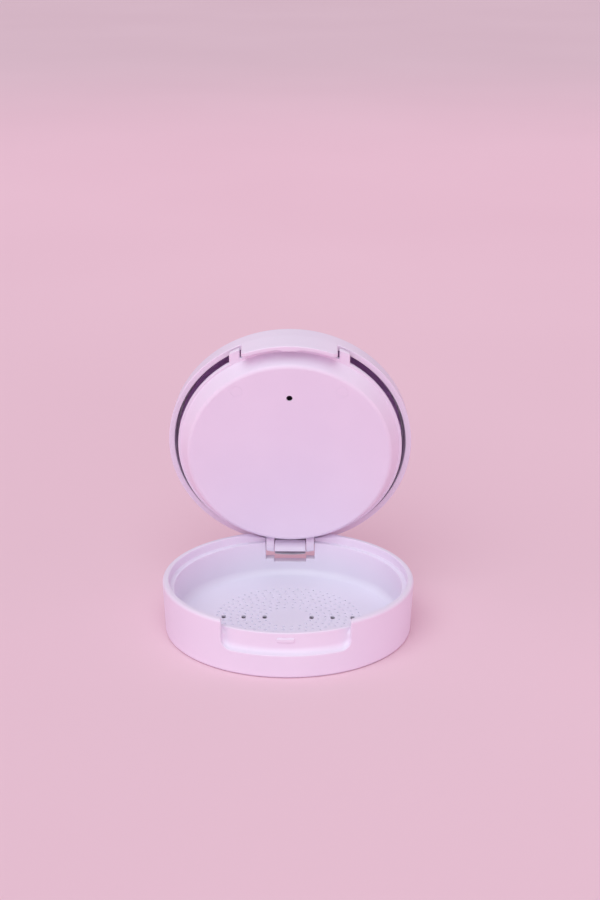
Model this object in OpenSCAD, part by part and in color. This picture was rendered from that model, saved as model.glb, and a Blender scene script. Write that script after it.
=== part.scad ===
// Round two-deck compact case: vented lower shell, flip-up pan tray, mirrored lid, one hinge pin.
// Drawn in millimetres with +Z up. The origin is the centre of the underside, +Y points to the hinge.
// The lower shell stands upright. Tray and lid are drawn closed and swung open about the hinge pin.

/* [Case] */
// Outer radius of the case at the parting line
case_r = 40; // [39.5:0.1:40.5]
// Height of the lower shell
base_h = 17; // [16.9:0.05:17.05]
// Outer radius just above the foot
foot_r = 39.25; // [38.9:0.05:39.4]
// Top of the floor of the sponge compartment
floor_z = 2.6; // [2:0.1:3]
// Fillet between floor and wall of the sponge compartment
floor_fillet = 2.5; // [1:0.25:3]
// Depth of the recess in the underside
under_recess = 0.8; // [0.4:0.1:1]
// Radius of the inner wall above the ledge
upper_inner_r = 38; // [37.9:0.05:38.2]
// Radius of the inner wall below the ledge
lower_inner_r = 36.3; // [36:0.1:36.4]
// Height of the ledge that carries the tray
ledge_z = 14.2; // [14.1:0.05:14.2]

/* [Opening] */
// Angle that tray and lid are swung open
open_angle = 77; // [0:1:77]

/* [Thumb recess] */
// Half width of the recess in the front wall
recess_half_w = 19.6; // [19.5:0.1:21]
// Height of the lower edge of the recess
recess_z = 7.7; // [7:0.1:8.5]
// Radius of the recess corners
recess_corner = 3; // [2:0.25:4]
// Radius of the recessed wall
recess_wall_r = 37.6; // [37.5:0.05:37.7]
// Fillet at the bottom of the recess
recess_fillet = 1.9; // [1:0.1:1.9]
// Half width of the snap bead and the snap catch
snap_half_w = 2.7; // [1.5:0.1:3]

/* [Vents] */
// Half width of the through vents in the floor
vent_r = 0.7; // [0.6:0.05:0.9]
// Length of the vents from front to back
vent_len = 2.5; // [2.2:0.1:3]
// Thickness of the floor round the vents
vent_skin = 0.5; // [0.4:0.1:1]
// Distance of the inner vents from the centre
vent_x1 = 7.55; // [6:0.05:9]
// Distance of the middle vents from the centre
vent_x2 = 14.3; // [12:0.05:16]
// Distance of the outer vents from the centre
vent_x3 = 20.75; // [19:0.05:23]

/* [Hinge] */
// Distance of the hinge axis behind the centre
hinge_y = 37.4; // [37.3:0.05:37.4]
// Height of the hinge axis
hinge_z = 13.5; // [13.45:0.05:13.5]
// Radius of the hinge pin
pin_r = 0.5; // [0.45:0.05:0.55]
// Half length of the hinge pin
pin_half = 10.9; // [10:0.1:10.9]
// Running clearance of the pin in tray and lid
pin_gap = 0.06; // [0.04:0.01:0.08]
// Half width of the notch in the back wall
notch_half_w = 8.25; // [8.25:0.05:8.4]
// Half width of the lid knuckle
knuckle_half_w = 5.25; // [5:0.05:5.3]
// Side gap between knuckle, arms and notch
side_gap = 0.15; // [0.12:0.01:0.2]
// Floor of the notch beside the knuckle
notch_z = 8.3; // [8:0.1:8.6]
// Floor of the notch below the knuckle
notch_mid_z = 7.1; // [6.8:0.1:7.5]

/* [Tray] */
// Radius of the tray flange
flange_r = 36.78; // [36.6:0.02:36.8]
// Thickness of the tray flange
flange_t = 1.6; // [1.4:0.1:1.6]
// Radius of the flat underside of the tray
plateau_r = 33.2; // [32.8:0.1:33.4]
// Height of the flat underside when closed
plateau_z = 9.2; // [9:0.1:9.5]
// Inner radius of the pan well
well_r = 31.3; // [31.2:0.1:31.5]
// Thickness of the well floor
well_floor = 1.2; // [1:0.1:1.4]
// Radius of the push-out hole
eject_r = 1; // [0.8:0.05:1.2]
// Wall left round the push-out hole
eject_skin = 0.4; // [0.3:0.1:0.8]
// Distance of the push-out hole in front of the centre
eject_y = 21.65; // [20:0.05:23]
// Inner edge of the two front ears
ear_x1 = 15.9; // [15.8:0.1:16.2]
// Outer edge of the two front ears
ear_x2 = 19.35; // [19:0.05:19.35]

/* [Lid] */
// Height of the lid shell above the parting line
lid_h = 6.75; // [6.6:0.05:7]
// Outer radius of the lid at its top edge
lid_top_r = 39.57; // [39.3:0.01:39.8]
// Radius of the rounded top edge
lid_edge = 1.2; // [0.8:0.1:1.5]
// Inner radius of the lid at the parting line
lid_inner_r = 38.03; // [37.9:0.01:38.1]
// Thickness of the lid top
lid_top_t = 1.6; // [1.4:0.1:1.8]
// Half width of the front tab
tab_half_w = 15.4; // [14:0.1:15.5]
// Height of the free edge of the tab when closed
tab_z = 10.3; // [10.2:0.1:10.4]
// Inner radius of the tab
tab_inner_r = 38.5; // [38.4:0.05:38.6]

/* [Mirror and powder] */
// Radius of the mirror
mirror_r = 36.9; // [36:0.1:37]
// Thickness of the mirror glass
mirror_t = 1.3; // [1:0.1:1.5]
// Thickness of the adhesive behind the mirror
mirror_tape_t = 0.5; // [0.3:0.1:0.6]
// Outer radius of the metal pan
pan_r = 31.1; // [30.8:0.1:31.1]
// Height of the metal pan
pan_h = 4.4; // [4:0.1:4.6]
// Wall thickness of the metal pan
pan_t = 0.4; // [0.3:0.05:0.5]
// Thickness of the adhesive under the pan
pan_tape_t = 0.2; // [0.1:0.05:0.3]
// Height of the crown of the pressed powder above the pan edge
powder_crown = 0.5; // [0.2:0.1:0.8]

/* [Hidden] */
$fn = 96;

part_gap = 0.1;                              // gap between the two shells when closed
rim_z = base_h + part_gap;                   // parting plane of the lid
lid_top_z = rim_z + lid_h;
lid_in_z = lid_top_z - lid_top_t;
flange_z = ledge_z + 0.1;                    // underside of the tray flange
deck_z = flange_z + flange_t;                // top of the tray
well_z = plateau_z + well_floor;
pan_z = well_z + pan_tape_t;
tape_z = lid_in_z - mirror_tape_t;
mirror_z = tape_z - mirror_t;
arm_in = knuckle_half_w + side_gap;
arm_out = notch_half_w - side_gap;
up = flange_z - hinge_z;                     // flange underside above the hinge axis
sweep_gap = 0.15;                            // clearance to what the opening tray sweeps

white_plastic = [0.93, 0.90, 0.95];
steel = [0.72, 0.72, 0.74];
tin = [0.78, 0.78, 0.80];
powder = [0.87, 0.70, 0.58];
glass = [0.80, 0.86, 0.90];
tape_white = [0.95, 0.95, 0.93];

// points of an arc round [cx, cy]
function arc(cx, cy, r, a0, a1, n = 4) =
    [for (i = [0:n]) let (a = a0 + (a1 - a0) * i / n) [cx + r * cos(a), cy + r * sin(a)]];

// smallest distance from the hinge axis of the flange edge, at a distance x from the middle
function edge_reach(x) =
    sqrt(pow(hinge_y - sqrt(flange_r * flange_r - x * x), 2) + up * up) - sweep_gap;

// swing a closed piece open about the hinge axis
module opened() {
    translate([0, hinge_y, hinge_z]) rotate([-open_angle, 0, 0])
        translate([0, -hinge_y, -hinge_z]) children();
}

// extrude a profile given in [y, z] along X, centred
module along_x(w) {
    rotate([90, 0, 90]) translate([0, 0, -w / 2]) linear_extrude(height = w) children();
}

// bore on the hinge axis
module axis_rod(r, half) {
    translate([-half, hinge_y, hinge_z]) rotate([0, 90, 0]) cylinder(r = r, h = 2 * half, $fn = 48);
}

// panel with two rounded lower corners, given in [x, z] and extruded through the front wall
module front_panel(half_w, z_low, z_high, corner) {
    rotate([90, 0, 0]) translate([0, 0, 25]) linear_extrude(height = 20) {
        translate([-(half_w - corner), z_low]) square([2 * (half_w - corner), z_high - z_low]);
        translate([-half_w, z_low + corner]) square([2 * half_w, z_high - z_low - corner]);
        for (s = [-1, 1]) translate([s * (half_w - corner), z_low + corner]) circle(r = corner, $fn = 48);
    }
}

// ring between two radii, from z0 to z1
module ring(r0, r1, z0, z1) {
    translate([0, 0, z0]) difference() {
        cylinder(r = r1, h = z1 - z0);
        translate([0, 0, -1]) cylinder(r = r0, h = z1 - z0 + 2);
    }
}

// ---------------------------------------------------------------- lower shell
module base_revolve() {
    rotate_extrude() polygon(concat(
        [[0, floor_z], [0, under_recess], [foot_r - 2.65, under_recess], [foot_r - 2.25, 0]],
        arc(foot_r - 0.8, 0.8, 0.8, -90, 0),
        arc(case_r - 1, base_h - 1, 1, 0, 90),
        [[upper_inner_r + 0.2, base_h], [upper_inner_r, base_h - 0.2], [upper_inner_r, ledge_z]],
        arc(lower_inner_r + 0.3, ledge_z - 0.3, 0.3, 90, 180, 2),
        arc(lower_inner_r - 0.3 - floor_fillet, floor_z + floor_fillet, floor_fillet, 0, -90, 6)
    ));
}

// room for the flange edge, which swings over the back wall beside the notch
module back_relief() {
    difference() {
        translate([-19, 31, ledge_z + 0.4]) cube([38, 12, 6]);
        for (s = [-1, 1]) {
            translate([0, hinge_y, hinge_z]) rotate([0, 90, 0]) rotate_extrude()
                polygon(concat([[0, s * 7.5]], [for (x = [7.5:1:19.5]) [edge_reach(x), s * x]],
                    [[0, s * 19.5]]));
            translate([0, 45, 0]) rotate([90, 0, 0]) linear_extrude(height = 45 - hinge_y)
                polygon(concat([[s * 7.5, ledge_z]],
                    [for (x = [7.5:1:19.5]) [s * x, hinge_z + 0.97 * edge_reach(x)]],
                    [[s * 19.5, ledge_z]]));
        }
    }
}

module base_shell() color(white_plastic) {
    difference() {
        base_revolve();
        // thumb recess in the front wall
        difference() {
            front_panel(recess_half_w, recess_z, 22, recess_corner);
            rotate_extrude() polygon(concat([[0, 0], [recess_wall_r + recess_fillet, 0]],
                arc(recess_wall_r + recess_fillet, recess_z + recess_fillet, recess_fillet, 270, 180, 6),
                [[recess_wall_r, 30], [0, 30]]));
        }
        // hinge notch in the back wall
        translate([-notch_half_w, 30, notch_z]) cube([2 * notch_half_w, 15, 15]);
        translate([-arm_in, 30, notch_mid_z]) cube([2 * arm_in, 15, 15]);
        back_relief();
        // seat of the hinge pin, blind at both ends
        axis_rod(pin_r, pin_half + 0.1);
        // vents
        for (x = [vent_x1, vent_x2, vent_x3]) for (s = [-1, 1])
            translate([s * x, 0, -1]) {
                for (t = [-1, 1]) translate([0, t * (vent_len / 2 - vent_r), 0])
                    cylinder(r = vent_r, h = floor_z + 2, $fn = 32);
                translate([-vent_r, vent_r - vent_len / 2, 0])
                    cube([2 * vent_r, vent_len - 2 * vent_r, floor_z + 2]);
                cylinder(r = vent_len / 2 + 0.85, h = floor_z + 1 - vent_skin, $fn = 48);
            }
    }
    // snap bead on the recessed wall
    intersection() {
        rotate_extrude() polygon([[recess_wall_r - 0.4, 11], [recess_wall_r, 11.05],
            [recess_wall_r + 0.35, 11.4], [recess_wall_r + 0.35, 12.1], [recess_wall_r, 12.45],
            [recess_wall_r - 0.4, 12.5]]);
        translate([-snap_half_w, -45, 10]) cube([2 * snap_half_w, 20, 4]);
    }
}

module hinge_pin() color(steel) {
    translate([0, hinge_y, hinge_z]) rotate([0, 90, 0]) rotate_extrude($fn = 48)
        polygon([[0, -pin_half], [pin_r - 0.12, -pin_half], [pin_r, -pin_half + 0.12],
                 [pin_r, pin_half - 0.12], [pin_r - 0.12, pin_half], [0, pin_half]]);
}

// ---------------------------------------------------------------- tray
module tray_revolve() {
    rotate_extrude() polygon(concat(
        [[0, well_z], [0, plateau_z]],
        arc(plateau_r - 0.9, plateau_z + 0.9, 0.9, -90, -28),
        [[flange_r - 0.9, flange_z]],
        arc(flange_r - 0.25, flange_z + 0.25, 0.25, -90, 0, 2),
        arc(flange_r - 0.25, deck_z - 0.25, 0.25, 0, 90, 2),
        [[well_r + 0.25, deck_z], [well_r, deck_z - 0.25], [well_r, well_z]]
    ));
}

module pan_tray_closed() {
    difference() {
        union() {
            difference() {
                tray_revolve();
                // straight back edge between the arms
                translate([-arm_in, 36.3, 10]) cube([2 * arm_in, 5, 10]);
            }
            // hinge arms
            intersection() {
                union() for (s = [-1, 1]) translate([s * (arm_in + arm_out) / 2, 0, 0])
                    along_x(arm_out - arm_in) translate([hinge_y, hinge_z]) {
                        polygon([[-2.9, up], [-2.9, up + flange_t], [0, up + flange_t],
                                 [0, 0], [3, 0], [3, -2.6], [0.1, -2.6], [-0.9, -1.7],
                                 [-1.6, -0.4], [-1.9, up]]);
                        circle(r = 2.4, $fn = 64);
                    }
                cylinder(r = case_r - 0.05, h = 30);
            }
            // front ears, one on each side of the lid tab
            intersection() {
                union() for (s = [-1, 1]) translate([s * (ear_x1 + ear_x2) / 2, -34, flange_z + flange_t / 2])
                    cube([ear_x2 - ear_x1, 14, flange_t], center = true);
                ring(35.2, case_r - 0.1, 10, 20);
            }
        }
        axis_rod(pin_r + pin_gap, notch_half_w + 1);
        // push-out hole for the pan
        translate([0, -eject_y, 5]) cylinder(r = eject_r, h = 10, $fn = 32);
        translate([0, -eject_y, plateau_z + eject_skin]) cylinder(r = eject_r + 1.2, h = 10, $fn = 32);
    }
}

module pan_tray() color(white_plastic) opened() pan_tray_closed();

module pan_tape() color(tape_white) opened()
    translate([0, 0, well_z]) cylinder(r = 15, h = pan_tape_t);

module pan() color(tin) opened()
    rotate_extrude() polygon([[0, pan_z], [pan_r - 0.5, pan_z], [pan_r, pan_z + 0.5],
        [pan_r, pan_z + pan_h], [pan_r - pan_t, pan_z + pan_h], [pan_r - pan_t, pan_z + pan_t],
        [0, pan_z + pan_t]]);

module powder_cake() color(powder) opened()
    rotate_extrude() polygon([[0, pan_z + pan_t], [pan_r - pan_t, pan_z + pan_t],
        [pan_r - pan_t, pan_z + pan_h - 0.3], [pan_r - pan_t - 1.4, pan_z + pan_h + 0.6 * powder_crown],
        [pan_r - 12, pan_z + pan_h + 0.9 * powder_crown], [0, pan_z + pan_h + powder_crown]]);

// ---------------------------------------------------------------- lid
module lid_revolve() {
    rotate_extrude() polygon(concat(
        [[0, lid_top_z], [0, lid_in_z]],
        arc(lid_inner_r - 1.0, lid_in_z - 0.6, 0.6, 90, 0, 2),
        [[lid_inner_r, rim_z + 0.2], [lid_inner_r + 0.2, rim_z]],
        arc(case_r - 0.3, rim_z + 0.3, 0.3, -90, 0, 2),
        arc(lid_top_r - lid_edge, lid_top_z - lid_edge, lid_edge, 0, 90)
    ));
}

module lid_shell_closed() {
    difference() {
        union() {
            lid_revolve();
            // front tab
            intersection() {
                front_panel(tab_half_w, tab_z, rim_z + 0.6, 2);
                ring(tab_inner_r, case_r, 5, 25);
            }
            // tie between tab and lid wall
            intersection() {
                front_panel(tab_half_w, rim_z - 0.4, rim_z + 0.6, 0.3);
                ring(lid_inner_r + 0.1, case_r, 5, 25);
            }
            // snap catch inside the free edge of the tab
            intersection() {
                rotate_extrude() polygon([[tab_inner_r + 0.3, tab_z], [tab_inner_r - 0.25, tab_z],
                    [tab_inner_r - 0.45, tab_z + 0.15], [tab_inner_r - 0.45, tab_z + 0.35],
                    [tab_inner_r, tab_z + 0.65], [tab_inner_r + 0.3, tab_z + 0.65]]);
                translate([-snap_half_w, -45, 9]) cube([2 * snap_half_w, 20, 4]);
            }
            // hinge knuckle, flush with the outside of the case
            intersection() {
                along_x(2 * knuckle_half_w) translate([hinge_y, hinge_z]) {
                    polygon([[0, 0], [0, rim_z - hinge_z + 0.5], [4, rim_z - hinge_z + 0.5], [4, -3.6],
                             [1.4, -3.6], [0.7, -3.3], [0.1, -2.8], [-0.4, -2.1], [-0.75, -1.3], [-0.94, -0.2]]);
                    circle(r = 0.95, $fn = 48);
                }
                cylinder(r = case_r, h = 30);
            }
        }
        axis_rod(pin_r + pin_gap, knuckle_half_w + 1);
    }
}

module lid_shell() color(white_plastic) opened() lid_shell_closed();

module mirror_tape() color(tape_white) opened()
    translate([0, 0, tape_z]) cylinder(r = mirror_r - 2, h = mirror_tape_t);

module mirror_glass() color(glass) opened()
    rotate_extrude() polygon([[0, mirror_z], [mirror_r - 0.3, mirror_z], [mirror_r, mirror_z + 0.3],
        [mirror_r, mirror_z + mirror_t], [0, mirror_z + mirror_t]]);

base_shell();
hinge_pin();
pan_tray();
pan_tape();
pan();
powder_cake();
lid_shell();
mirror_tape();
mirror_glass();
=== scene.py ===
import math

import bpy
import bmesh
import numpy as np
from mathutils import Matrix, Vector


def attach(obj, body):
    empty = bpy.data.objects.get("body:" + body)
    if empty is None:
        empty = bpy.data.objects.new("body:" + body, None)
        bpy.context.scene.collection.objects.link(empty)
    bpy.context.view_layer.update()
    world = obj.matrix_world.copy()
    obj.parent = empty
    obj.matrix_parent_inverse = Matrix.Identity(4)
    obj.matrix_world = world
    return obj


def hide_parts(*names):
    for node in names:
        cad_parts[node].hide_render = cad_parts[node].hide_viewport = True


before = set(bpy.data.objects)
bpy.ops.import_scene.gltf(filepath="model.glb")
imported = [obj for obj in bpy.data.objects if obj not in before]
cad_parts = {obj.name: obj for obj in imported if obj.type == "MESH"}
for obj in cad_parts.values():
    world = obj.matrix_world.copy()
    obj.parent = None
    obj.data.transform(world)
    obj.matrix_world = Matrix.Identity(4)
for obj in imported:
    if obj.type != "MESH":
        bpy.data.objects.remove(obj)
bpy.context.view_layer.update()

CELL = 0.3          # mesh cell of the moulded shells, in millimetres

# ------------------------------------------------------------------ dimensions, millimetres, case closed
HY, HZ = 37.4, 13.5                     # hinge axis
OPEN = 77.0                             # rest angle of tray and lid
RIM, PART = 17.0, 17.1                  # rim of the lower shell, parting plane of the lid
LEDGE, FLOOR = 14.2, 2.6
LID_TOP, LID_IN = 23.85, 22.25


# ------------------------------------------------------------------ distance field tools
def rint(a, b, r):
    """Intersection of two solids with a rounded edge."""
    m = np.maximum(a, b)
    ua = np.maximum(a + r, 0.0)
    ub = np.maximum(b + r, 0.0)
    return np.minimum(m, -r) + np.sqrt(ua * ua + ub * ub)


def runi(a, b, r):
    """Union of two solids with a filleted corner."""
    return -rint(-a, -b, r)


def only(mask, f, x, y, z, far=4.0):
    """The field f where the mask holds, and a large distance elsewhere."""
    out = np.full(x.shape, far, x.dtype)
    if mask.any():
        out[mask] = f(x[mask], y[mask], z[mask])
    return out


def panel(x, z, half, low, corner):
    """Upright panel |x| < half, z > low, with rounded lower corners."""
    qx = np.abs(x) - (half - corner)
    qz = (low + corner) - z
    return np.sqrt(np.maximum(qx, 0) ** 2 + np.maximum(qz, 0) ** 2) + np.minimum(np.maximum(qx, qz), 0) - corner


def polygon(px, pz, pts):
    """Signed distance to a closed polygon."""
    n = len(pts)
    d = (px - pts[0][0]) ** 2 + (pz - pts[0][1]) ** 2
    s = np.ones_like(px)
    j = n - 1
    for i in range(n):
        ex, ez = pts[j][0] - pts[i][0], pts[j][1] - pts[i][1]
        wx, wz = px - pts[i][0], pz - pts[i][1]
        t = np.clip((wx * ex + wz * ez) / (ex * ex + ez * ez), 0, 1)
        bx, bz = wx - ex * t, wz - ez * t
        d = np.minimum(d, bx * bx + bz * bz)
        c1 = pz >= pts[i][1]
        c2 = pz < pts[j][1]
        c3 = ex * wz > ez * wx
        flip = (c1 & c2 & c3) | (~c1 & ~c2 & ~c3)
        s = np.where(flip, -s, s)
        j = i
    return s * np.sqrt(d)


def edge_reach(ax):
    """Distance from the hinge axis of the tray's flange edge, less the clearance."""
    e = HY - np.sqrt(np.maximum(36.78 ** 2 - ax * ax, 1.0))
    return np.sqrt(e * e + 0.8 ** 2) - 0.15


# ------------------------------------------------------------------ lower shell
def thumb_recess(x, y, z):
    t = np.clip((13.8 - z) / 2.2, 0, 1)
    return rint(panel(x, z, 19.6, 7.7, 3.0), 37.6 - np.hypot(x, y), 0.35 + 1.55 * t * t * (3 - 2 * t))


def hinge_room(x, y, z):
    """Notch for the hinge and room for the flange edge beside it."""
    ax = np.abs(x)
    n1 = np.maximum(np.maximum(ax - 8.25, 8.3 - z), 30 - y)
    n2 = np.maximum(np.maximum(ax - 5.4, 7.1 - z), 30 - y)
    r = edge_reach(np.clip(ax, 7.5, 19.5))
    keep = np.minimum(np.sqrt((y - HY) ** 2 + (z - HZ) ** 2) - r, np.maximum(z - (HZ + 0.97 * r), HY - y))
    gone = np.maximum(np.maximum(-keep, ax - 19.0), np.maximum(LEDGE + 0.4 - z, 31 - y)) * 0.8
    return np.minimum(np.minimum(n1, n2), gone)


def pin_seat(x, y, z, r, half):
    return np.maximum(np.sqrt((y - HY) ** 2 + (z - HZ) ** 2) - r, np.abs(x) - half)


def snap_bead(x, y, z):
    R = np.hypot(x, y)
    d = rint(rint(R - 37.95, np.abs(z - 11.75) - 0.7, 0.28), np.abs(x) - 2.7, 0.3)
    return np.maximum(d, 37.0 - R)


def base_field(x, y, z):
    R = np.sqrt(x * x + y * y)
    wall = R - (39.25 + (z - 0.8) * (0.75 / 15.5))
    d = rint(wall, z - RIM, 1.0)
    d = rint(d, -z, 0.8)
    d = rint(d, -rint(R - 36.8, z - 0.8, 0.3), 0.25)
    low = rint(R - (36.0 + (z - 2.6) * 0.026), FLOOR - z, 2.5)
    upc = rint(R - 38.0, LEDGE - z, 0.2)
    d = rint(d, rint(-low, -upc, 0.3), 0.3)
    d = rint(d, -only(y < -30, thumb_recess, x, y, z), 0.4)
    d = rint(d, -only(y > 28, hinge_room, x, y, z), 0.22)
    d = np.maximum(d, -only(y > 34, lambda u, v, w: pin_seat(u, v, w, 0.505, 11.0), x, y, z))
    return runi(d, only(y < -30, snap_bead, x, y, z), 0.12)


# ------------------------------------------------------------------ lid
KNUCKLE = [(0.0, 0.0), (0.0, 4.2), (4.2, 4.2), (4.2, -3.6), (1.4, -3.6), (0.7, -3.3), (0.1, -2.8), (-0.4, -2.1), (-0.75, -1.3), (-0.94, -0.2)]


def lid_tab(x, y, z):
    R = np.hypot(x, y)
    wall = R - (40.0 - np.maximum(z - PART, 0) * (0.43 / 5.55))
    tab = rint(rint(wall, 38.5 - R, 0.35), panel(x, z, 15.4, 10.3, 2.0), 0.35)
    tab = np.maximum(tab, z - 19.5)
    catch = rint(rint(38.05 - R, np.abs(z - 10.65) - 0.35, 0.2), np.abs(x) - 2.7, 0.25)
    return np.minimum(tab, np.maximum(catch, R - 39.2))


def lid_knuckle(x, y, z):
    yy, zz = y - HY, z - HZ
    wall = np.hypot(x, y) - (40.0 - np.maximum(z - PART, 0) * (0.43 / 5.55))
    prof = np.minimum(polygon(yy, zz, KNUCKLE), np.sqrt(yy * yy + zz * zz) - 0.95)
    return rint(rint(prof, wall, 0.3), np.abs(x) - 5.25, 0.3)


def lid_field(x, y, z):
    R = np.sqrt(x * x + y * y)
    wall = R - (40.0 - np.maximum(z - PART, 0) * (0.43 / 5.55))
    d = rint(wall, z - LID_TOP, 1.2)
    d = rint(d, PART - z, 0.3)
    inner = rint(R - (38.03 - np.maximum(z - 17.3, 0) * 0.13), z - LID_IN, 0.5)
    d = rint(d, -inner, 0.3)
    d = runi(d, only(y < -28, lid_tab, x, y, z), 0.15)
    d = runi(d, only(y > 28, lid_knuckle, x, y, z), 0.1)
    return np.maximum(d, -only(y > 34, lambda u, v, w: pin_seat(u, v, w, 0.56, 9.0), x, y, z))


# ------------------------------------------------------------------ tray
ARM = [(-2.9, 0.8), (-2.9, 2.4), (0.0, 2.4), (1.2, 2.08), (2.08, 1.2), (2.4, 0.0), (3.0, 0.0), (3.0, -2.6),
       (0.1, -2.6), (-0.9, -1.7), (-1.6, -0.4), (-1.9, 0.8)]


def tray_arms(x, y, z):
    yy, zz = y - HY, z - HZ
    arm = np.minimum(polygon(yy, zz, ARM), np.sqrt(yy * yy + zz * zz) - 2.4)
    return rint(rint(arm, np.hypot(x, y) - 39.95, 0.35), np.abs(np.abs(x) - 6.75) - 1.35, 0.25)


def tray_ears(x, y, z):
    R = np.hypot(x, y)
    return rint(rint(rint(R - 39.9, 35.2 - R, 0.2), np.abs(z - 15.1) - 0.8, 0.3), np.abs(np.abs(x) - 17.625) - 1.725, 0.45)


def tray_field(x, y, z):
    R = np.sqrt(x * x + y * y)
    cone = ((R - 33.2) * 5.1 - (z - 9.2) * 2.7) / 5.7706
    lower = rint(cone, 9.2 - z, 0.8)
    flange = rint(R - 36.78, 14.3 - z, 0.3)
    flange = np.maximum(flange, np.minimum(5.4 - np.abs(x), y - 36.3))
    d = runi(lower, flange, 0.15)
    d = np.minimum(d, only(y > 28, tray_arms, x, y, z))
    d = runi(d, only(y < -28, tray_ears, x, y, z), 0.12)
    d = rint(d, z - 15.9, 0.25)
    d = rint(d, -rint(R - 31.3, 10.4 - z, 0.3), 0.25)
    return np.maximum(d, -only(y > 34, lambda u, v, w: pin_seat(u, v, w, 0.56, 9.0), x, y, z))


# ------------------------------------------------------------------ mesh from a field
CORNERS = np.array([(a, b, c) for a in (0, 1) for b in (0, 1) for c in (0, 1)])
EDGES = [(i, j) for i in range(8) for j in range(i + 1, 8) if np.abs(CORNERS[i] - CORNERS[j]).sum() == 1]


def gradient(f, p, e=0.02):
    g = np.zeros_like(p)
    for s in ((1, -1, -1), (-1, -1, 1), (-1, 1, -1), (1, 1, 1)):
        s = np.array(s, float)
        q = p + s * e
        g += f(q[:, 0], q[:, 1], q[:, 2])[:, None] * s
    return g / (4 * e)


def mesh_from_field(f, lo, hi, h):
    """Even quad mesh of the surface f = 0, with its vertices moved onto the exact surface."""
    lo = np.array(lo, float) - 1.5 * h + 0.013
    nb = np.ceil((np.array(hi, float) + 1.5 * h - lo) / (8 * h)).astype(int)
    n = nb * 8
    gi = np.stack(np.meshgrid(*[np.arange(k) for k in nb], indexing="ij"), -1).reshape(-1, 3)
    centre = lo + (gi * 8 + 4) * h
    near = np.abs(f(centre[:, 0], centre[:, 1], centre[:, 2])) < 7.3 * h
    blocks = gi[near] * 8
    off = np.stack(np.meshgrid(*[np.arange(9)] * 3, indexing="ij"), -1)
    keys, verts, quads = [], [], []
    cell_key = lambda c: (c[..., 0] * n[1] + c[..., 1]) * n[2] + c[..., 2]
    for s in range(0, len(blocks), 400):
        b = blocks[s:s + 400]
        idx = b[:, None, None, None, :] + off
        p = (lo + idx * h).astype(np.float32)
        v = f(p[..., 0].ravel(), p[..., 1].ravel(), p[..., 2].ravel()).reshape(idx.shape[:-1])
        inside = v < 0
        count = sum(inside[:, a:a + 8, c:c + 8, e:e + 8].astype(np.int8) for a, c, e in CORNERS)
        w = np.argwhere((count > 0) & (count < 8))
        if len(w):
            vals = np.stack([v[w[:, 0], w[:, 1] + a, w[:, 2] + c, w[:, 3] + e] for a, c, e in CORNERS], 1)
            acc, num = np.zeros((len(w), 3)), np.zeros(len(w))
            for i, j in EDGES:
                m = (vals[:, i] < 0) != (vals[:, j] < 0)
                t = vals[m, i] / (vals[m, i] - vals[m, j])
                acc[m] += CORNERS[i] + t[:, None] * (CORNERS[j] - CORNERS[i])
                num[m] += 1
            cell = b[w[:, 0]] + w[:, 1:]
            keys.append(cell_key(cell))
            verts.append(lo + (cell + acc / num[:, None]) * h)
        for axis in range(3):
            st = [slice(0, 8)] * 3
            en = list(st)
            en[axis] = slice(1, 9)
            a, c = inside[:, st[0], st[1], st[2]], inside[:, en[0], en[1], en[2]]
            for start_in in (True, False):
                m = (a & ~c) if start_in else (~a & c)
                w = np.argwhere(m)
                if not len(w):
                    continue
                g = b[w[:, 0]] + w[:, 1:]
                u, t = (axis + 1) % 3, (axis + 2) % 3
                du, dt = np.zeros(3, int), np.zeros(3, int)
                du[u], dt[t] = 1, 1
                q = np.stack([cell_key(g - du - dt), cell_key(g - dt), cell_key(g), cell_key(g - du)], 1)
                quads.append(q if start_in else q[:, ::-1])
    keys, verts, quads = np.concatenate(keys), np.concatenate(verts), np.concatenate(quads)
    order = np.argsort(keys)
    keys, verts = keys[order], verts[order]
    where = np.searchsorted(keys, quads.ravel()).reshape(quads.shape)
    where = np.minimum(where, len(keys) - 1)
    good = (keys[where] == quads).all(1)
    quads = where[good]
    for _ in range(4):
        d = f(verts[:, 0], verts[:, 1], verts[:, 2])
        g = gradient(f, verts)
        g2 = np.maximum((g * g).sum(1), 0.2)
        step = -(d / g2)[:, None] * g
        size = np.linalg.norm(step, axis=1)
        step *= np.minimum(1, 0.5 * h / np.maximum(size, 1e-9))[:, None]
        verts = verts + step
    return verts, quads


def new_object(name, verts, faces):
    me = bpy.data.meshes.new(name)
    me.vertices.add(len(verts))
    me.vertices.foreach_set("co", np.asarray(verts, np.float32).ravel())
    faces = np.asarray(faces, np.int32)
    k = faces.shape[1]
    me.loops.add(faces.size)
    me.loops.foreach_set("vertex_index", faces.ravel())
    me.polygons.add(len(faces))
    me.polygons.foreach_set("loop_start", np.arange(0, faces.size, k, dtype=np.int32))
    me.update(calc_edges=True)
    me.validate()
    ob = bpy.data.objects.new(name, me)
    bpy.context.scene.collection.objects.link(ob)
    return ob


def applied(ob):
    """Replaces the mesh of ob by its evaluated mesh and clears the modifiers."""
    dg = bpy.context.evaluated_depsgraph_get()
    me = bpy.data.meshes.new_from_object(ob.evaluated_get(dg))
    old = ob.data
    ob.modifiers.clear()
    ob.data = me
    bpy.data.meshes.remove(old)
    return ob


def thin_out(ob, ratio):
    m = ob.modifiers.new("thin", "DECIMATE")
    m.ratio = ratio
    m.use_collapse_triangulate = True
    return applied(ob)


def subtract(ob, cutter):
    m = ob.modifiers.new("cut", "BOOLEAN")
    m.operation = "DIFFERENCE"
    m.solver = "MANIFOLD"
    m.object = cutter
    applied(ob)
    bpy.data.objects.remove(cutter)
    return ob


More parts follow.
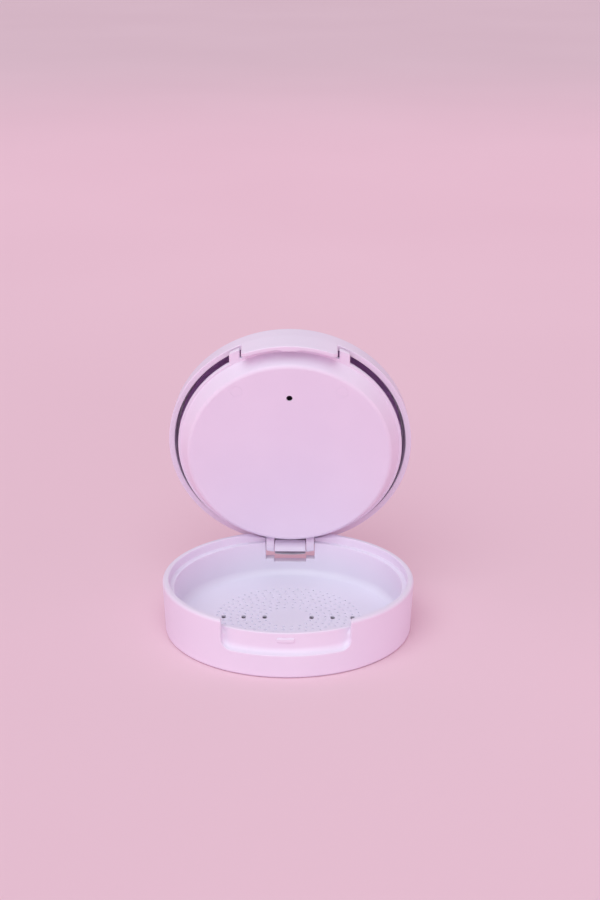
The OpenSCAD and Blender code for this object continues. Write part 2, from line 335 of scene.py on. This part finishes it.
def field_normals(ob, f):
    """Corner normals from the field, so that the shading is exact. Cut features keep their face normals."""
    me = ob.data
    nv, nl, npoly = len(me.vertices), len(me.loops), len(me.polygons)
    co = np.zeros(nv * 3, np.float32); me.vertices.foreach_get("co", co); co = co.reshape(-1, 3).astype(float)
    li = np.zeros(nl, np.int32); me.loops.foreach_get("vertex_index", li)
    tot = np.zeros(npoly, np.int32); me.polygons.foreach_get("loop_total", tot)
    cen = np.zeros(npoly * 3, np.float32); me.polygons.foreach_get("center", cen); cen = cen.reshape(-1, 3).astype(float)
    fn = np.zeros(npoly * 3, np.float32); me.polygons.foreach_get("normal", fn); fn = fn.reshape(-1, 3).astype(float)
    pi = np.repeat(np.arange(npoly), tot)
    p = co[li]
    toward = cen[pi] - p
    size = np.linalg.norm(toward, axis=1, keepdims=True)
    q = p + toward / np.maximum(size, 1e-9) * np.minimum(0.03, size * 0.3)
    g = gradient(f, q, 0.015)
    g /= np.maximum(np.linalg.norm(g, axis=1, keepdims=True), 1e-9)
    away = (g * fn[pi]).sum(1) < math.cos(math.radians(40))
    g[away] = fn[pi][away]
    me.polygons.foreach_set("use_smooth", np.ones(npoly, bool))
    me.normals_split_custom_set([tuple(v) for v in g])
    me.update()


def opened():
    return (Matrix.Translation((0, HY, HZ)) @ Matrix.Rotation(math.radians(-OPEN), 4, "X")
            @ Matrix.Translation((0, -HY, -HZ)))


def place(ob, swing):
    """Millimetres, closed, to metres in the row frame, keeping the corner normals."""
    m = Matrix.Scale(0.001, 4) @ (opened() if swing else Matrix.Identity(4))
    me = ob.data
    has = me.has_custom_normals
    if has:
        nl = len(me.loops)
        ns = np.zeros(nl * 3, np.float32)
        me.corner_normals.foreach_get("vector", ns)
        ns = ns.reshape(-1, 3) @ np.array(opened().to_3x3() if swing else Matrix.Identity(3)).T
    me.transform(m)
    if has:
        me.normals_split_custom_set([tuple(v) for v in ns])
    me.update()
    return ob


def lathe(name, profile, segments=256, close_axis=True):
    """Solid of revolution from (r, z) points, listed so that the outside lies to the right of the path going down."""
    verts, faces = [], []
    rings = []
    for r, z in profile:
        if r < 1e-6:
            rings.append([len(verts)])
            verts.append((0, 0, z))
        else:
            rings.append(list(range(len(verts), len(verts) + segments)))
            for i in range(segments):
                a = 2 * math.pi * i / segments
                verts.append((r * math.cos(a), r * math.sin(a), z))
    for a, b in zip(rings, rings[1:]):
        for i in range(segments):
            j = (i + 1) % segments
            if len(a) == 1 and len(b) == 1:
                continue
            if len(a) == 1:
                faces.append((a[0], b[j], b[i]))
            elif len(b) == 1:
                faces.append((a[i], a[j], b[0]))
            else:
                faces.append((a[i], a[j], b[j], b[i]))
    me = bpy.data.meshes.new(name)
    me.from_pydata(verts, [], faces)
    bm = bmesh.new()
    bm.from_mesh(me)
    bmesh.ops.recalc_face_normals(bm, faces=bm.faces)
    bm.to_mesh(me)
    bm.free()
    ob = bpy.data.objects.new(name, me)
    bpy.context.scene.collection.objects.link(ob)
    return ob


def smooth_by_angle(ob, degrees):
    me = ob.data
    bm = bmesh.new()
    bm.from_mesh(me)
    for e in bm.edges:
        e.smooth = len(e.link_faces) == 2 and e.calc_face_angle(0) < math.radians(degrees)
    for fc in bm.faces:
        fc.smooth = True
    bm.to_mesh(me)
    bm.free()
    return ob


def arc(cx, cz, r, a0, a1, n=5):
    return [(cx + r * math.cos(math.radians(a0 + (a1 - a0) * i / n)),
             cz + r * math.sin(math.radians(a0 + (a1 - a0) * i / n))) for i in range(n + 1)]


def many(name, base, places):
    """One mesh of copies of base (a bmesh-building function) at the places."""
    bm = bmesh.new()
    for p in places:
        base(bm, p)
    me = bpy.data.meshes.new(name)
    bm.to_mesh(me)
    bm.free()
    ob = bpy.data.objects.new(name, me)
    bpy.context.scene.collection.objects.link(ob)
    return ob


def slot(half_w, half_l, z0, z1, segments=16):
    """Upright bore with a stadium outline."""
    def make(bm, p):
        outline = []
        for sy, a0 in ((1, 0), (-1, 180)):
            for i in range(segments + 1):
                a = math.radians(a0 + 180 * i / segments)
                outline.append((p[0] + half_w * math.cos(a), p[1] + sy * (half_l - half_w) + half_w * math.sin(a)))
        lo = [bm.verts.new((u, v, z0)) for u, v in outline]
        hi = [bm.verts.new((u, v, z1)) for u, v in outline]
        bm.faces.new(lo[::-1])
        bm.faces.new(hi)
        for i in range(len(lo)):
            j = (i + 1) % len(lo)
            bm.faces.new((lo[i], lo[j], hi[j], hi[i]))
    return make


def drill(radius, z0, z1, segments=48):
    def make(bm, p):
        bmesh.ops.create_cone(bm, cap_ends=True, segments=segments, radius1=radius, radius2=radius,
                              depth=z1 - z0, matrix=Matrix.Translation((p[0], p[1], (z0 + z1) / 2)))
    return make


def pits(name, radius, z0, z1, places, around=16):
    """One mesh with a short upright rod at each place."""
    ring = [(radius * math.cos(2 * math.pi * i / around), radius * math.sin(2 * math.pi * i / around)) for i in range(around)]
    v = [(u, w, z) for z in (z0, z1) for u, w in ring] + [(0.0, 0.0, z0), (0.0, 0.0, z1)]
    f = []
    for i in range(around):
        n = (i + 1) % around
        f += [(i, n, around + n), (i, around + n, around + i), (2 * around, n, i), (2 * around + 1, around + i, around + n)]
    v, f = np.array(v), np.array(f)
    at = np.column_stack([np.array(places), np.zeros(len(places))])
    return new_object(name, (v[None] + at[:, None]).reshape(-1, 3),
                      (f[None] + (np.arange(len(at)) * len(v))[:, None, None]).reshape(-1, 3))


# ------------------------------------------------------------------ materials
def principled(name):
    mat = bpy.data.materials.new(name)
    mat.use_nodes = True
    nt = mat.node_tree
    bsdf = nt.nodes["Principled BSDF"]
    return mat, nt, bsdf


def coords(nt):
    return nt.nodes.new("ShaderNodeTexCoord").outputs["Object"]


def noise(nt, vec, scale, detail=3.0, rough=0.5):
    n = nt.nodes.new("ShaderNodeTexNoise")
    n.inputs["Scale"].default_value = scale
    n.inputs["Detail"].default_value = detail
    n.inputs["Roughness"].default_value = rough
    nt.links.new(vec, n.inputs["Vector"])
    return n.outputs["Fac"]


def ramp(nt, fac, a, b, lo=0.35, hi=0.65):
    r = nt.nodes.new("ShaderNodeValToRGB")
    r.color_ramp.elements[0].position = lo
    r.color_ramp.elements[1].position = hi
    r.color_ramp.elements[0].color = (*a, 1)
    r.color_ramp.elements[1].color = (*b, 1)
    nt.links.new(fac, r.inputs["Fac"])
    return r.outputs["Color"]


def span(nt, fac, lo, hi):
    m = nt.nodes.new("ShaderNodeMapRange")
    m.inputs["To Min"].default_value = lo
    m.inputs["To Max"].default_value = hi
    nt.links.new(fac, m.inputs["Value"])
    return m.outputs["Result"]


def bump(nt, bsdf, heights):
    """heights: list of (socket, strength, distance in metres), chained."""
    last = None
    for fac, strength, distance in heights:
        b = nt.nodes.new("ShaderNodeBump")
        b.inputs["Strength"].default_value = strength
        b.inputs["Distance"].default_value = distance
        nt.links.new(fac, b.inputs["Height"])
        if last is not None:
            nt.links.new(last, b.inputs["Normal"])
        last = b.outputs["Normal"]
    nt.links.new(last, bsdf.inputs["Normal"])


def moulded(name, a, b, rough=(0.36, 0.46), grain=0.22):
    """Satin spark-eroded ABS: faint tone drift and fine grain."""
    mat, nt, s = principled(name)
    v = coords(nt)
    tone = noise(nt, v, 38.0, 2.0)
    fine = noise(nt, v, 5200.0, 2.0, 0.6)
    mid = noise(nt, v, 900.0, 3.0, 0.55)
    nt.links.new(ramp(nt, tone, a, b), s.inputs["Base Color"])
    nt.links.new(span(nt, mid, *rough), s.inputs["Roughness"])
    s.inputs["IOR"].default_value = 1.5
    s.inputs["Specular IOR Level"].default_value = 0.5
    bump(nt, s, [(mid, 0.10, 0.00002), (fine, grain, 0.00001)])
    return mat


def metal(name, colour, dark, rough, streak):
    mat, nt, s = principled(name)
    v = coords(nt)
    m = nt.nodes.new("ShaderNodeMapping")
    m.inputs["Scale"].default_value = streak
    nt.links.new(v, m.inputs["Vector"])
    n = noise(nt, m.outputs["Vector"], 60.0, 4.0, 0.6)
    nt.links.new(ramp(nt, n, dark, colour, 0.2, 0.8), s.inputs["Base Color"])
    nt.links.new(span(nt, n, *rough), s.inputs["Roughness"])
    s.inputs["Metallic"].default_value = 1.0
    bump(nt, s, [(n, 0.15, 0.00001)])
    return mat


def pressed_powder():
    mat, nt, s = principled("pressed_powder")
    v = coords(nt)
    big = noise(nt, v, 120.0, 4.0, 0.6)
    fine = noise(nt, v, 6500.0, 3.0, 0.7)
    mix = nt.nodes.new("ShaderNodeMix")
    mix.data_type = "RGBA"
    mix.blend_type = "MULTIPLY"
    mix.inputs["Factor"].default_value = 0.35
    nt.links.new(ramp(nt, big, (0.70, 0.47, 0.34), (0.77, 0.55, 0.41)), mix.inputs["A"])
    nt.links.new(ramp(nt, fine, (0.80, 0.78, 0.76), (1, 1, 1), 0.3, 0.6), mix.inputs["B"])
    nt.links.new(mix.outputs["Result"], s.inputs["Base Color"])
    nt.links.new(span(nt, fine, 0.82, 0.95), s.inputs["Roughness"])
    s.inputs["Specular IOR Level"].default_value = 0.25
    s.inputs["Sheen Weight"].default_value = 0.15
    s.inputs["Sheen Roughness"].default_value = 0.5
    bump(nt, s, [(big, 0.12, 0.00008), (fine, 0.5, 0.00004)])
    return mat


def silvered():
    mat, nt, s = principled("mirror_silver")
    v = coords(nt)
    haze = noise(nt, v, 70.0, 4.0, 0.6)
    nt.links.new(ramp(nt, haze, (0.84, 0.58, 0.90), (0.88, 0.62, 0.93)), s.inputs["Base Color"])
    nt.links.new(span(nt, haze, 0.012, 0.03), s.inputs["Roughness"])
    s.inputs["Metallic"].default_value = 1.0
    return mat


def film():
    mat, nt, s = principled("adhesive_film")
    v = coords(nt)
    n = noise(nt, v, 1500.0, 3.0, 0.6)
    nt.links.new(ramp(nt, n, (0.80, 0.80, 0.76), (0.90, 0.90, 0.86)), s.inputs["Base Color"])
    nt.links.new(span(nt, n, 0.7, 0.9), s.inputs["Roughness"])
    bump(nt, s, [(n, 0.4, 0.00004)])
    return mat


SHELL_A, SHELL_B = (0.785, 0.755, 0.865), (0.81, 0.78, 0.885)
mat_base = moulded("shell_plastic_base", SHELL_A, SHELL_B)
mat_lid = moulded("shell_plastic_lid", SHELL_A, SHELL_B)
mat_tray = moulded("shell_plastic_tray", SHELL_A, SHELL_B)
mat_pin = metal("pin_steel", (0.62, 0.62, 0.64), (0.42, 0.42, 0.44), (0.18, 0.34), (6.0, 90.0, 90.0))
mat_pan = metal("pan_tinplate", (0.80, 0.80, 0.81), (0.66, 0.66, 0.68), (0.22, 0.38), (30.0, 30.0, 30.0))
# pan outer wall and underside: near-black painted shade, so that the push-out hole in the tray reads as a dark hollow
mat_pan_painted_shade = metal("pan_outside_painted_shade", (0.030, 0.026, 0.034), (0.018, 0.015, 0.022), (0.45, 0.6), (30.0, 30.0, 30.0))
mat_powder = pressed_powder()
mat_mirror = silvered()
mat_film = film()


def finish_piece(ob, mat, body, node):
    ob.data.materials.clear()
    ob.data.materials.append(mat)
    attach(ob, body)
    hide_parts(node)
    return ob


# ------------------------------------------------------------------ build the three mouldings
def shell(name, field, lo, hi, ratio):
    v, q = mesh_from_field(field, lo, hi, CELL)
    ob = new_object(name, v, q)
    thin_out(ob, ratio)
    return ob


# lower shell, with its vents and the dotted floor
base = shell("lower_shell", base_field, (-40.2, -40.2, -0.1), (40.2, 40.2, 17.2), 0.3)
vents = [(s * x, 0.0) for x in (7.55, 14.3, 20.75) for s in (-1, 1)]
VENT_W, VENT_L = 0.7, 1.25
dots = []
for k, phase in enumerate((0, 0.5, 0.25, 0, 0.5, 0.25, 0, 0.5)):
    rad = 7.55 + 2.2 * k
    count = 2 * int(round(math.pi * rad / 2.65))
    for i in range(count):
        a = 2 * math.pi * (i + phase) / count
        x, y = rad * math.cos(a), rad * math.sin(a)
        if all(abs(x - u) > VENT_W + 0.75 or abs(y - w) > VENT_L + 0.7 for u, w in vents):
            dots.append((x, y))
subtract(base, pits("dots", 0.43, FLOOR - 0.30, FLOOR + 0.4, dots))
subtract(base, many("pockets", drill(2.1, -2.0, FLOOR - 0.5), vents))
subtract(base, many("vents", slot(VENT_W, VENT_L, -2.0, 6.0), vents))
field_normals(base, base_field)
place(base, False)
finish_piece(base, mat_base, "base", "base_shell")

# tray, seen from its underside: push-out hole and two shallow ejector marks
tray = shell("flip_tray", tray_field, (-37, -40.2, 8.9), (37, 40.2, 16.1), 0.3)
hole = lathe("push_hole", [(0, 5.0), (1.0, 5.0), (1.0, 9.6), (2.2, 9.6), (2.2, 12.0), (0, 12.0)], 48)
hole.data.transform(Matrix.Translation((0, -21.65, 0)))
subtract(tray, hole)


def ring_groove(bm, p):
    segs = 64
    rows = []
    for r, z in ((1.76, 9.0), (1.98, 9.0), (1.94, 9.27), (1.80, 9.27)):
        rows.append([bm.verts.new((p[0] + r * math.cos(2 * math.pi * i / segs),
                                   p[1] + r * math.sin(2 * math.pi * i / segs), z)) for i in range(segs)])
    for a, b in zip(rows, rows[1:] + rows[:1]):
        for i in range(segs):
            j = (i + 1) % segs
            bm.faces.new((a[i], b[i], b[j], a[j]))
    bmesh.ops.recalc_face_normals(bm, faces=bm.faces)


subtract(tray, many("ejector_marks", ring_groove, [(-17.0, -24.0), (17.0, -24.0)]))
field_normals(tray, tray_field)
place(tray, True)
finish_piece(tray, mat_tray, "tray", "pan_tray")

# lid
lid = shell("lid_cover", lid_field, (-40.2, -40.2, 10.4), (40.2, 40.2, 24.0), 0.3)
field_normals(lid, lid_field)
place(lid, True)
finish_piece(lid, mat_lid, "lid", "lid_shell")

# ------------------------------------------------------------------ pan, powder, mirror, pin
pan = lathe("metal_pan", [(0, 11.0), (30.2, 11.0)] + arc(30.3, 11.4, 0.4, -90, 0, 4)[1:]
            + [(30.7, 14.75)] + arc(30.9, 14.8, 0.2, 180, 0, 6)
            + [(31.1, 11.1)] + arc(30.6, 11.1, 0.5, 0, -90, 6)[1:] + [(0, 10.6)], 288)
smooth_by_angle(pan, 35)
# faces of the pan's outer wall and underside, which take the painted-shade colour
outside = [pl.index for pl in pan.data.polygons
           if pl.center.z < 14.5 and (math.hypot(pl.center.x, pl.center.y) > 30.9 or pl.normal.z < -0.3)]
place(pan, True)
finish_piece(pan, mat_pan, "tray", "pan")
pan.data.materials.append(mat_pan_painted_shade)
for i in outside:
    pan.data.polygons[i].material_index = 1

cake = lathe("powder_cake_pressed", [(0, 15.5)] + [(r, 15.5 - 0.0009 * r * r * 0.55) for r in (4, 8, 12, 16, 20, 24, 27)]
             + arc(29.3, 13.75, 1.35, 75, 4, 8) + [(30.68, 13.3), (30.68, 11.42), (29.9, 11.02), (0, 11.02)], 256)
smooth_by_angle(cake, 40)
place(cake, True)
finish_piece(cake, mat_powder, "tray", "powder_cake")

glass = lathe("mirror_disc", [(0, 20.45), (36.76, 20.45), (36.86, 20.50), (36.9, 20.62), (36.9, 21.7), (36.85, 21.75), (0, 21.75)], 320)
smooth_by_angle(glass, 12)
place(glass, True)
finish_piece(glass, mat_mirror, "lid", "mirror_glass")

pin_profile = [(0, 10.9), (0.34, 10.9)] + arc(0.34, 10.74, 0.16, 90, 0, 4)[1:] + arc(0.34, -10.74, 0.16, 0, -90, 4) + [(0, -10.9)]
pin = lathe("hinge_pin_rod", pin_profile, 48)
smooth_by_angle(pin, 40)
pin.data.transform(Matrix.Scale(0.001, 4) @ Matrix.Translation((0, HY, HZ)) @ Matrix.Rotation(math.radians(90), 4, "Y"))
finish_piece(pin, mat_pin, "base", "hinge_pin")

for name in ("pan_tape", "mirror_tape"):
    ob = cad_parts[name]
    ob.data.materials.clear()
    ob.data.materials.append(mat_film)

# ------------------------------------------------------------------ floor, light, camera
bpy.ops.mesh.primitive_plane_add(size=6.0, location=(0, 0.6, -0.00005))
floor = bpy.context.object
floor.name = "floor"
fm, fnt, fs = principled("floor_paper")
fv = coords(fnt)
fn1 = noise(fnt, fv, 3.0, 2.0)
fnt.links.new(ramp(fnt, fn1, (0.85, 0.62, 0.69), (0.87, 0.64, 0.71)), fs.inputs["Base Color"])
fs.inputs["Roughness"].default_value = 0.85
fs.inputs["Specular IOR Level"].default_value = 0.2
floor.data.materials.append(fm)


def aimed(name, kind, loc, target, power, colour):
    li = bpy.data.lights.new(name, kind)
    li.energy = power
    li.color = colour
    ob = bpy.data.objects.new(name, li)
    bpy.context.scene.collection.objects.link(ob)
    ob.location = loc
    ob.rotation_euler = (Vector(target) - Vector(loc)).to_track_quat("-Z", "Y").to_euler()
    return li


key = aimed("key", "SUN", (-0.18, -0.62, 1.0), (0, 0, 0), 1.52, (0.82, 1.0, 0.99))
key.angle = math.radians(60)


def panel_light(name, loc, size, size_y, power, colour):
    li = aimed(name, "AREA", loc, (0, 0, 0.04), power, colour)
    li.shape = "RECTANGLE"
    li.size, li.size_y = size, size_y


panel_light("front", (0.0, -1.5, 0.62), 1.8, 0.7, 1.5, (0.98, 0.92, 0.98))
panel_light("fill_left", (-0.8, -0.35, 0.10), 0.7, 0.2, 1.6, (1.0, 0.42, 0.68))
panel_light("fill_right", (0.8, -0.35, 0.10), 0.7, 0.2, 1.4, (1.0, 0.38, 0.66))
panel_light("fill_front", (0.0, -0.95, 0.12), 1.2, 0.14, 0.8, (1.0, 0.42, 0.68))
panel_light("back", (0.0, 1.0, 0.8), 1.4, 0.6, 1.7, (1.0, 0.38, 0.64))
world = bpy.data.worlds.new("studio")
bpy.context.scene.world = world
world.use_nodes = True
bg = world.node_tree.nodes["Background"]
bg.inputs["Color"].default_value = (1.0, 0.755, 0.90, 1)
bg.inputs["Strength"].default_value = 0.45
bpy.context.scene.view_settings.view_transform = "Standard"

PITCH, YAW, ROLL = (math.radians(v) for v in (18.8015, -0.7257, 0.144))
fwd = Vector((math.sin(YAW) * math.cos(PITCH), math.cos(YAW) * math.cos(PITCH), -math.sin(PITCH)))
right = Vector((math.cos(YAW), -math.sin(YAW), 0))
up = right.cross(fwd)
r2 = right * math.cos(ROLL) + up * math.sin(ROLL)
u2 = -right * math.sin(ROLL) + up * math.cos(ROLL)
cam_data = bpy.data.cameras.new("camera")
cam = bpy.data.objects.new("camera", cam_data)
bpy.context.scene.collection.objects.link(cam)
rot = Matrix((r2, u2, -fwd)).transposed()
cam.matrix_world = Matrix.Translation((0.010332, -0.524084, 0.237885)) @ rot.to_4x4()
cam_data.sensor_width = 36.0
cam_data.lens = 36.0 * 1777.767 / 900.0
cam_data.clip_start, cam_data.clip_end = 0.01, 20.0
bpy.context.scene.camera = cam

bpy.context.view_layer.update()
